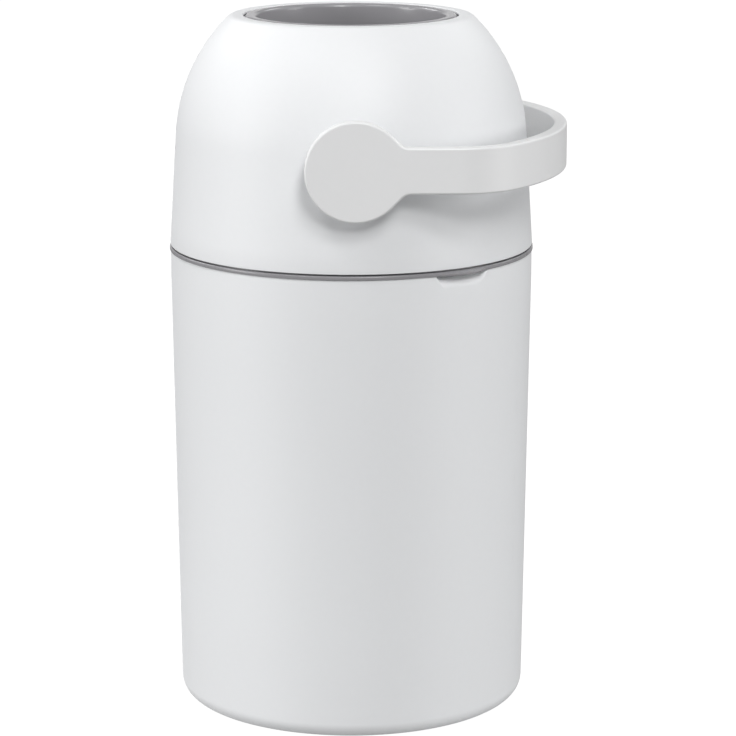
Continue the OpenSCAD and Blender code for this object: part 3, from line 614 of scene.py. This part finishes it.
def head_base():
    middle = (0.0, PIVOT_Z)
    under_r = DISH_R + DISH_T
    dish_low = -math.degrees(math.acos(OUTLET_R / DISH_R))
    under_low = -math.degrees(math.acos(OUTLET_R / under_r))
    collar_in = COLLAR_R - COLLAR_T
    skirt_foot = BUCKET_H - SKIRT_H
    corners = [
        (RING_R, BUCKET_H, EDGE_FINE),
        *[(RING_R, BUCKET_H + TAB_EDGE_T + row) for row in TAB_ROWS],
        (RING_R, RING_TOP, RING_ROUND),
        (RING_R - GROOVE_LIP, RING_TOP, EDGE_FINE),
        (RING_R - GROOVE_LIP, RING_TOP - GROOVE_DEPTH, EDGE_CRISP),
        (COLLAR_R, RING_TOP - GROOVE_DEPTH, EDGE_CRISP),
        (COLLAR_R, RING_TOP + COLLAR_H, EDGE_EASY),
        (collar_in, RING_TOP + COLLAR_H, EDGE_EASY),
        (collar_in, RING_TOP, EDGE_SMALL),
        *arc(middle, DISH_R, ball_angle(RING_TOP, DISH_R), dish_low, steps=10),
        *arc(middle, under_r, under_low, ball_angle(BUCKET_H, under_r), steps=10),
        (SKIRT_R - SKIRT_T, BUCKET_H, EDGE_SOFT),
        (SKIRT_R - SKIRT_T, skirt_foot, EDGE_FINE),
        (SKIRT_R, skirt_foot, EDGE_FINE),
        (SKIRT_R, BUCKET_H, EDGE_SOFT),
    ]
    bm = spin_outline(rounded(corners), SCOOPED_ROUND, fine=BESIDE_TAB)
    for v in bm.verts:
        r, away = column(v)
        if r > RING_R - TAB_ROOT:
            set_radius(v, r + max(tab_radius(away, v.co.z) - RING_R, 0.0))
    piece("ring_and_tab", bm, "head", RING_GREY, ["head_base"])


def tangent_angle(radius, foot_r):
    """Elevation, in degrees, where a line from the dome's foot touches a ball."""
    drop = PIVOT_Z - DOME_FOOT_Z
    return math.degrees(math.acos(radius / math.hypot(foot_r, drop)) - math.atan2(drop, foot_r))


def dome():
    lean = math.degrees(math.asin((LIP_TOP - LIP_R) / (DOME_R - LIP_R)))
    middle = (0.0, PIVOT_Z)
    bend = on_circle(middle, DOME_R - LIP_R, lean)
    edge_r = DOME_WALL / 2
    edge = (MOUTH_R + edge_r, PIVOT_Z + LIP_TOP - edge_r)
    inner_r = DOME_R - DOME_WALL
    foot = (DOME_FOOT_R, DOME_FOOT_Z)
    inner_foot = (DOME_FOOT_R - DOME_WALL, DOME_FOOT_Z)
    outer_touch = tangent_angle(DOME_R, DOME_FOOT_R)
    inner_touch = tangent_angle(inner_r, DOME_FOOT_R - DOME_WALL)
    corners = [
        (*foot, EDGE_SOFT),
        *levels(foot, on_circle(middle, DOME_R, outer_touch), steps=6),
        *arc(middle, DOME_R, outer_touch, lean, steps=44),
        *arc(bend, LIP_R, lean, 90.0, steps=12)[1:],
        *arc(edge, edge_r, 90.0, 270.0, steps=10),
        *arc(bend, LIP_R - DOME_WALL, 90.0, lean, steps=6),
        *arc(middle, inner_r, lean, inner_touch, steps=40)[1:],
        *levels(on_circle(middle, inner_r, inner_touch), inner_foot, steps=3),
        (*inner_foot, EDGE_SOFT),
    ]
    bm = spin_outline(rounded(corners), LARGE_ROUND)
    piece("dome_shell", bm, "head", WHITE, ["dome"])


def along_drum(bm, side):
    """Places a solid drawn about Z so that +Z points out along the drum's axis, -1 at the front."""
    lying = Matrix.Rotation(math.radians(-90) * side, 4, "X")
    bm.transform(Matrix.Translation((0.0, 0.0, PIVOT_Z)) @ lying)
    return bm


def bearing_pad():
    return spin_outline(rounded([
        (BUSH_R + BUSH_FIT, BEARING_IN, EDGE_FINE),
        (BUSH_FLANGE_R, BEARING_IN, EDGE_FINE),
        (BUSH_FLANGE_R, BEARING_OUT, EDGE_EASY),
        (BUSH_R + BUSH_FIT, BEARING_OUT, EDGE_CRISP),
    ]), SMALL_ROUND)


def bush():
    return spin_outline(rounded([
        (HUB_R + HUB_PLAY, BEARING_IN, EDGE_FINE),
        (BUSH_R, BEARING_IN, EDGE_FINE),
        (BUSH_R, BEARING_OUT),
        (BUSH_FLANGE_R, BEARING_OUT),
        (BUSH_FLANGE_R, BUSH_FACE, EDGE_SOFT),
        (HUB_R + HUB_PLAY, BUSH_FACE, EDGE_FINE),
    ]), SMALL_ROUND)


def hub():
    return spin_outline(rounded([
        (0.0, HUB_KEY_END),
        (HUB_KEY_R, HUB_KEY_END, EDGE_SOFT),
        (HUB_KEY_R, HUB_SEAT),
        (HUB_R, HUB_SEAT, EDGE_SOFT),
        (HUB_R, HUB_FLANGE_IN, EDGE_CRISP),
        (HUB_FLANGE_R, HUB_FLANGE_IN, EDGE_SOFT),
        (HUB_FLANGE_R, DISC_BACK),
        (HUB_NOSE_R, DISC_BACK),
        (HUB_NOSE_R, DISC_BACK + HUB_NOSE_H, EDGE_SOFT),
        (0.0, DISC_BACK + HUB_NOSE_H),
    ], closed=False), SMALL_ROUND, closed=False)


def bearings():
    pads = []
    for side, where in ((-1, "front"), (1, "back")):
        pads.append(along_drum(bearing_pad(), side))
        placed = along_drum(bush(), side)
        piece("bush_" + where, placed, "head", INNER_GREY, ["bearing_bush_" + where])
        placed = along_drum(hub(), side)
        piece("hub_" + where, placed, "drum", INNER_GREY, ["pivot_hub_" + where])
    piece("bearing_pads", joined(pads), "head", WHITE)


# ---- Drum ----

def lifted(bm, height, sign):
    """Lifts a solid drawn upwards to its height, turned over first where sign is -1."""
    bm.transform(Matrix.Translation((0, 0, height)) @ Matrix.Diagonal((1, 1, sign, 1)))
    return bm


def rim_corners():
    """The upper rim's outline, from the drum's centre: its outer edge bends off the drum's ball."""
    lean = math.degrees(math.asin((RIM_CREST - RIM_ROUND) / (DRUM_R - RIM_ROUND)))
    bend = on_circle((0.0, 0.0), DRUM_R - RIM_ROUND, lean)
    bore = (RIM_BORE_R + RIM_BORE_ROUND, RIM_CREST - RIM_BORE_ROUND)
    sleeve_r = CHUTE_R - CHUTE_FIT
    skirt_r = CHUTE_R + CHUTE_WALL + CHUTE_FIT
    return [
        (RIM_BORE_R, PISTON_STOP, EDGE_SOFT),
        (sleeve_r, PISTON_STOP, EDGE_FINE),
        (sleeve_r, CHUTE_END),
        (skirt_r, CHUTE_END),
        (skirt_r, RIM_FOOT, EDGE_FINE),
        (RIM_OUTER_R, RIM_FOOT, EDGE_SMALL),
        (RIM_OUTER_R, RIM_EDGE, EDGE_FULL),
        *arc(bend, RIM_ROUND, lean, 90.0, steps=10),
        *arc(bore, RIM_BORE_ROUND, 90.0, 180.0, steps=8),
    ]


def drum_rims():
    for sign, where in ((1, "top"), (-1, "bottom")):
        bm = lifted(spin_outline(rounded(rim_corners()), LARGE_ROUND), PIVOT_Z, sign)
        piece("rim_" + where, bm, "drum", GREY, ["chute_rim_" + where])


def chute():
    low, high = PIVOT_Z - CHUTE_END, PIVOT_Z + CHUTE_END
    bm = spin_outline(rounded([
        (CHUTE_R, low, EDGE_FINE),
        (CHUTE_R + CHUTE_WALL, low, EDGE_FINE),
        (CHUTE_R + CHUTE_WALL, high, EDGE_FINE),
        (CHUTE_R, high, EDGE_FINE),
        *levels((CHUTE_R, high), (CHUTE_R, low), steps=8),
    ]), LARGE_ROUND)
    piece("chute", bm, "drum", INNER_GREY, ["chute_tube"])


# The handle's outer face from above: the grip's arc, the bend's arc and the straight arm
GRIP_X = HANDLE_REACH - GRIP_R
BEND_Y = HANDLE_HALF_W - BEND_R
BEND_START = math.asin(BEND_Y / (GRIP_R - BEND_R))
BEND_X = GRIP_X + (GRIP_R - BEND_R) * math.cos(BEND_START)
GRIP_LENGTH = GRIP_R * BEND_START
BEND_END = GRIP_LENGTH + BEND_R * (math.pi / 2 - BEND_START)
HALF_LENGTH = BEND_END + BEND_X


def handle_path(along):
    """Point and outward direction of the handle's outer face, at a distance from the grip's middle."""
    s = abs(along)
    if s <= GRIP_LENGTH:
        a = s / GRIP_R
        centre, radius = Vector((GRIP_X, 0.0)), GRIP_R
    elif s <= BEND_END:
        a = BEND_START + (s - GRIP_LENGTH) / BEND_R
        centre, radius = Vector((BEND_X, BEND_Y)), BEND_R
    else:
        a = math.pi / 2
        centre, radius = Vector((BEND_X - (s - BEND_END), BEND_Y)), BEND_R
    outward = Vector((math.cos(a), math.sin(a)))
    point = centre + outward * radius
    if along < 0:
        point.y, outward.y = -point.y, -outward.y
    return point, outward


def handle_outline():
    """The handle's outline laid flat: distance along it, and height from the drum's axis."""
    corner = DISC_R * math.sqrt(0.5)
    low, high = ARM_RISE - ARM_W / 2, ARM_RISE + ARM_W / 2
    back_off = NECK_FILLET * math.tan(math.radians(22.5))
    end = [
        *arc((2 * corner + low + back_off, low - NECK_FILLET), NECK_FILLET, 90.0, 135.0, steps=6),
        *arc((0.0, 0.0), DISC_R, -45.0, -315.0, steps=72),
        *arc((2 * corner - high + back_off, high + NECK_FILLET), NECK_FILLET, -135.0, -90.0, steps=6),
    ]
    one = [(HALF_LENGTH - x, z) for x, z in end]
    other = [(x - HALF_LENGTH, z) for x, z in reversed(end)]
    return one + other


def handle():
    """A flat strip with a disc at each end, its edges rounded, cut across often and bent to its path."""
    bm = bmesh.new()
    face = bm.faces.new([bm.verts.new((s, 0.0, z)) for s, z in handle_outline()])
    bmesh.ops.extrude_face_region(bm, geom=[face])
    bm.verts.ensure_lookup_table()
    for v in bm.verts[len(bm.verts) // 2:]:
        v.co.y = HANDLE_T
    bmesh.ops.recalc_face_normals(bm, faces=bm.faces)
    rims = [e for e in bm.edges if e.verts[0].co.y == e.verts[1].co.y]
    round_edges(bm, rims, HANDLE_EDGE, segments=5)
    cuts = int(BEND_END / BEND_STEP)
    for i in range(-cuts, cuts + 1):
        bmesh.ops.bisect_plane(
            bm, geom=bm.verts[:] + bm.edges[:] + bm.faces[:], dist=CUT_SNAP,
            plane_co=(BEND_END * i / cuts, 0, 0), plane_no=(1, 0, 0),
        )
    for v in bm.verts:
        point, outward = handle_path(v.co.x)
        inset = v.co.y
        v.co = (point.x - outward.x * inset, point.y - outward.y * inset, v.co.z + PIVOT_Z)
    weigh_normals(piece(
        "carrying_handle", bm, "drum", HANDLE_WHITE, ["handle"], crease=HANDLE_CREASE,
    ))


# ---- Piston ----

def piston_cap():
    """The lower cap, from its outer face up: a flat rim round a slightly hollow middle."""
    return spin_outline(rounded([
        (0.0, CAP_HOLLOW),
        (PISTON_R - CAP_RIM_W - CAP_SLOPE_W, CAP_HOLLOW, CAP_SLOPE_ROUND),
        (PISTON_R - CAP_RIM_W, 0.0, CAP_SLOPE_ROUND),
        (PISTON_R, 0.0, CAP_ROUND),
        (PISTON_R, CAP_T, EDGE_FINE),
        (SPIGOT_R, CAP_T),
        (SPIGOT_R, CAP_T + WIPER_T, EDGE_FINE),
        (0.0, CAP_T + WIPER_T),
    ], closed=False), CAP_COLUMNS, closed=False)


def piston_caps():
    low = PIVOT_Z - PISTON_STOP
    for start, sign, where in ((low, 1, "bottom"), (low + PISTON_H, -1, "top")):
        cap = lifted(piston_cap(), start, sign)
        node = "piston_cap_" + where
        piece(node + "_turned", cap, "piston", INNER_GREY, [node])


# ---- Build ----

bucket()
hinge_bracket()
hinge_ears()
head_base()
dome()
bearings()
drum_rims()
chute()
handle()
piston_caps()

# The nodes that keep their own shape, by material
KEPT = {
    RUBBER: [
        "base_pads", "mouth_seal", "outlet_seal", "rim_gasket",
        "piston_wiper_top", "piston_wiper_bottom",
    ],
    INNER_GREY: ["bag_ring", "drum_shell_front", "drum_shell_back", "piston_body"],
    STEEL: ["hinge_pin", "dome_screws", "shell_screws", "hub_screws", "piston_weight"],
}
for material, names in KEPT.items():
    for name in names:
        node = frame["nodes"][name]
        node.data.materials.clear()
        node.data.materials.append(material)

# ---- Floor, light and camera ----

FLOOR_SIZE = 60.0
FLOOR_GLOW = 1.12
FLOOR_BOUNCE = 0.22
FLOOR_NEAR = 0.225
FLOOR_PAINT = 0.12
FLOOR_TONE = (0.9, 0.9, 0.9, 1.0)
SKY_GLOW = 0.038
PLAIN_WHITE = (1.0, 1.0, 1.0, 1.0)
LIGHT_DISTANCE = 6.0
LIGHT_TARGET = Vector((0.0, 0.0, 0.25))

# Each softbox: name, turn from the front, elevation in degrees, width and height in metres, watts
SOFTBOXES = [
    ("left_low", -75.0, 8.0, (1.6, 1.6), 132.0),
    ("left_high", -80.0, 35.0, (1.6, 1.6), 71.0),
    ("left_top", -50.0, 60.0, (1.6, 1.6), 64.0),
    ("front_key", 12.0, 35.0, (1.3, 1.3), 99.0),
    ("front_high", 16.0, 50.0, (1.3, 1.3), 91.0),
    ("right_low", 75.0, 8.0, (1.6, 1.6), 90.0),
    ("right_high", 80.0, 35.0, (1.6, 1.6), 40.0),
    ("back_left", -135.0, 35.0, (1.6, 1.6), 75.0),
    ("back_right", 135.0, 35.0, (1.6, 1.6), 50.0),
    ("back_wall", 180.0, 9.0, (7.0, 2.0), 36.0),
]

CAMERA_PLACE = Vector((-48.9, -2407.3, 798.8))
CAMERA_AIM = Vector((0.02503, 0.97540, -0.21899))
CAMERA_LENS = 154.75
CAMERA_SENSOR = 36.0
CAMERA_FAR = 200.0


def studio_floor():
    """A pale floor that looks white and throws a softer light back, most of it from beside the object."""
    paint = Paint(bpy.data.materials.new("studio_floor"))
    seen = paint.node("ShaderNodeLightPath", {}, {}, out="Is Camera Ray")
    near = paint.node("ShaderNodeTexGradient", {"gradient_type": "SPHERICAL"}, {"Vector": paint.place()})
    throw = FLOOR_BOUNCE + FLOOR_NEAR * near
    bounce = paint.node("ShaderNodeEmission", {}, {"Color": PLAIN_WHITE, "Strength": throw})
    glow = paint.node("ShaderNodeEmission", {}, {"Color": PLAIN_WHITE, "Strength": FLOOR_GLOW})
    diffuse = paint.node("ShaderNodeBsdfDiffuse", {}, {"Color": FLOOR_TONE})
    lit = paint.mix_shaders(seen, bounce, glow)
    bm = bmesh.new()
    bmesh.ops.create_grid(bm, x_segments=1, y_segments=1, size=FLOOR_SIZE / 2)
    mesh = bpy.data.meshes.new("floor")
    bm.to_mesh(mesh)
    bm.free()
    mesh.materials.append(paint.finish(paint.mix_shaders(FLOOR_PAINT, lit, diffuse)))
    floor = bpy.data.objects.new("floor", mesh)
    bpy.context.scene.collection.objects.link(floor)


def studio_sky():
    """A faint even light, from a sky that looks as pale as the floor."""
    paint = Paint(bpy.data.worlds.new("studio"))
    seen = paint.node("ShaderNodeLightPath", {}, {}, out="Is Camera Ray")
    faint = paint.node("ShaderNodeBackground", {}, {"Color": PLAIN_WHITE, "Strength": SKY_GLOW})
    pale = paint.node("ShaderNodeBackground", {}, {"Color": PLAIN_WHITE, "Strength": FLOOR_GLOW})
    sky = paint.finish(paint.mix_shaders(seen, faint, pale), "ShaderNodeOutputWorld")
    bpy.context.scene.world = sky


def softbox(name, turn, elevation, size, power):
    light = bpy.data.lights.new(name, "AREA")
    light.shape = "RECTANGLE"
    light.size, light.size_y = size
    light.energy = power
    made = bpy.data.objects.new(name, light)
    a, e = math.radians(turn), math.radians(elevation)
    away = Vector((math.sin(a) * math.cos(e), -math.cos(a) * math.cos(e), math.sin(e)))
    made.location = LIGHT_TARGET + away * LIGHT_DISTANCE
    made.rotation_mode = "QUATERNION"
    made.rotation_quaternion = (-away).to_track_quat("-Z", "Y")
    bpy.context.scene.collection.objects.link(made)


def camera():
    made = bpy.data.objects.new("camera", bpy.data.cameras.new("camera"))
    made.data.sensor_width = CAMERA_SENSOR
    made.data.lens = CAMERA_LENS
    made.data.clip_end = CAMERA_FAR
    made.location = CAMERA_PLACE * MM
    made.rotation_mode = "QUATERNION"
    made.rotation_quaternion = CAMERA_AIM.to_track_quat("-Z", "Y")
    bpy.context.scene.collection.objects.link(made)
    bpy.context.scene.camera = made


studio_floor()
studio_sky()
for box in SOFTBOXES:
    softbox(*box)
camera()
bpy.context.scene.view_settings.view_transform = "Standard"
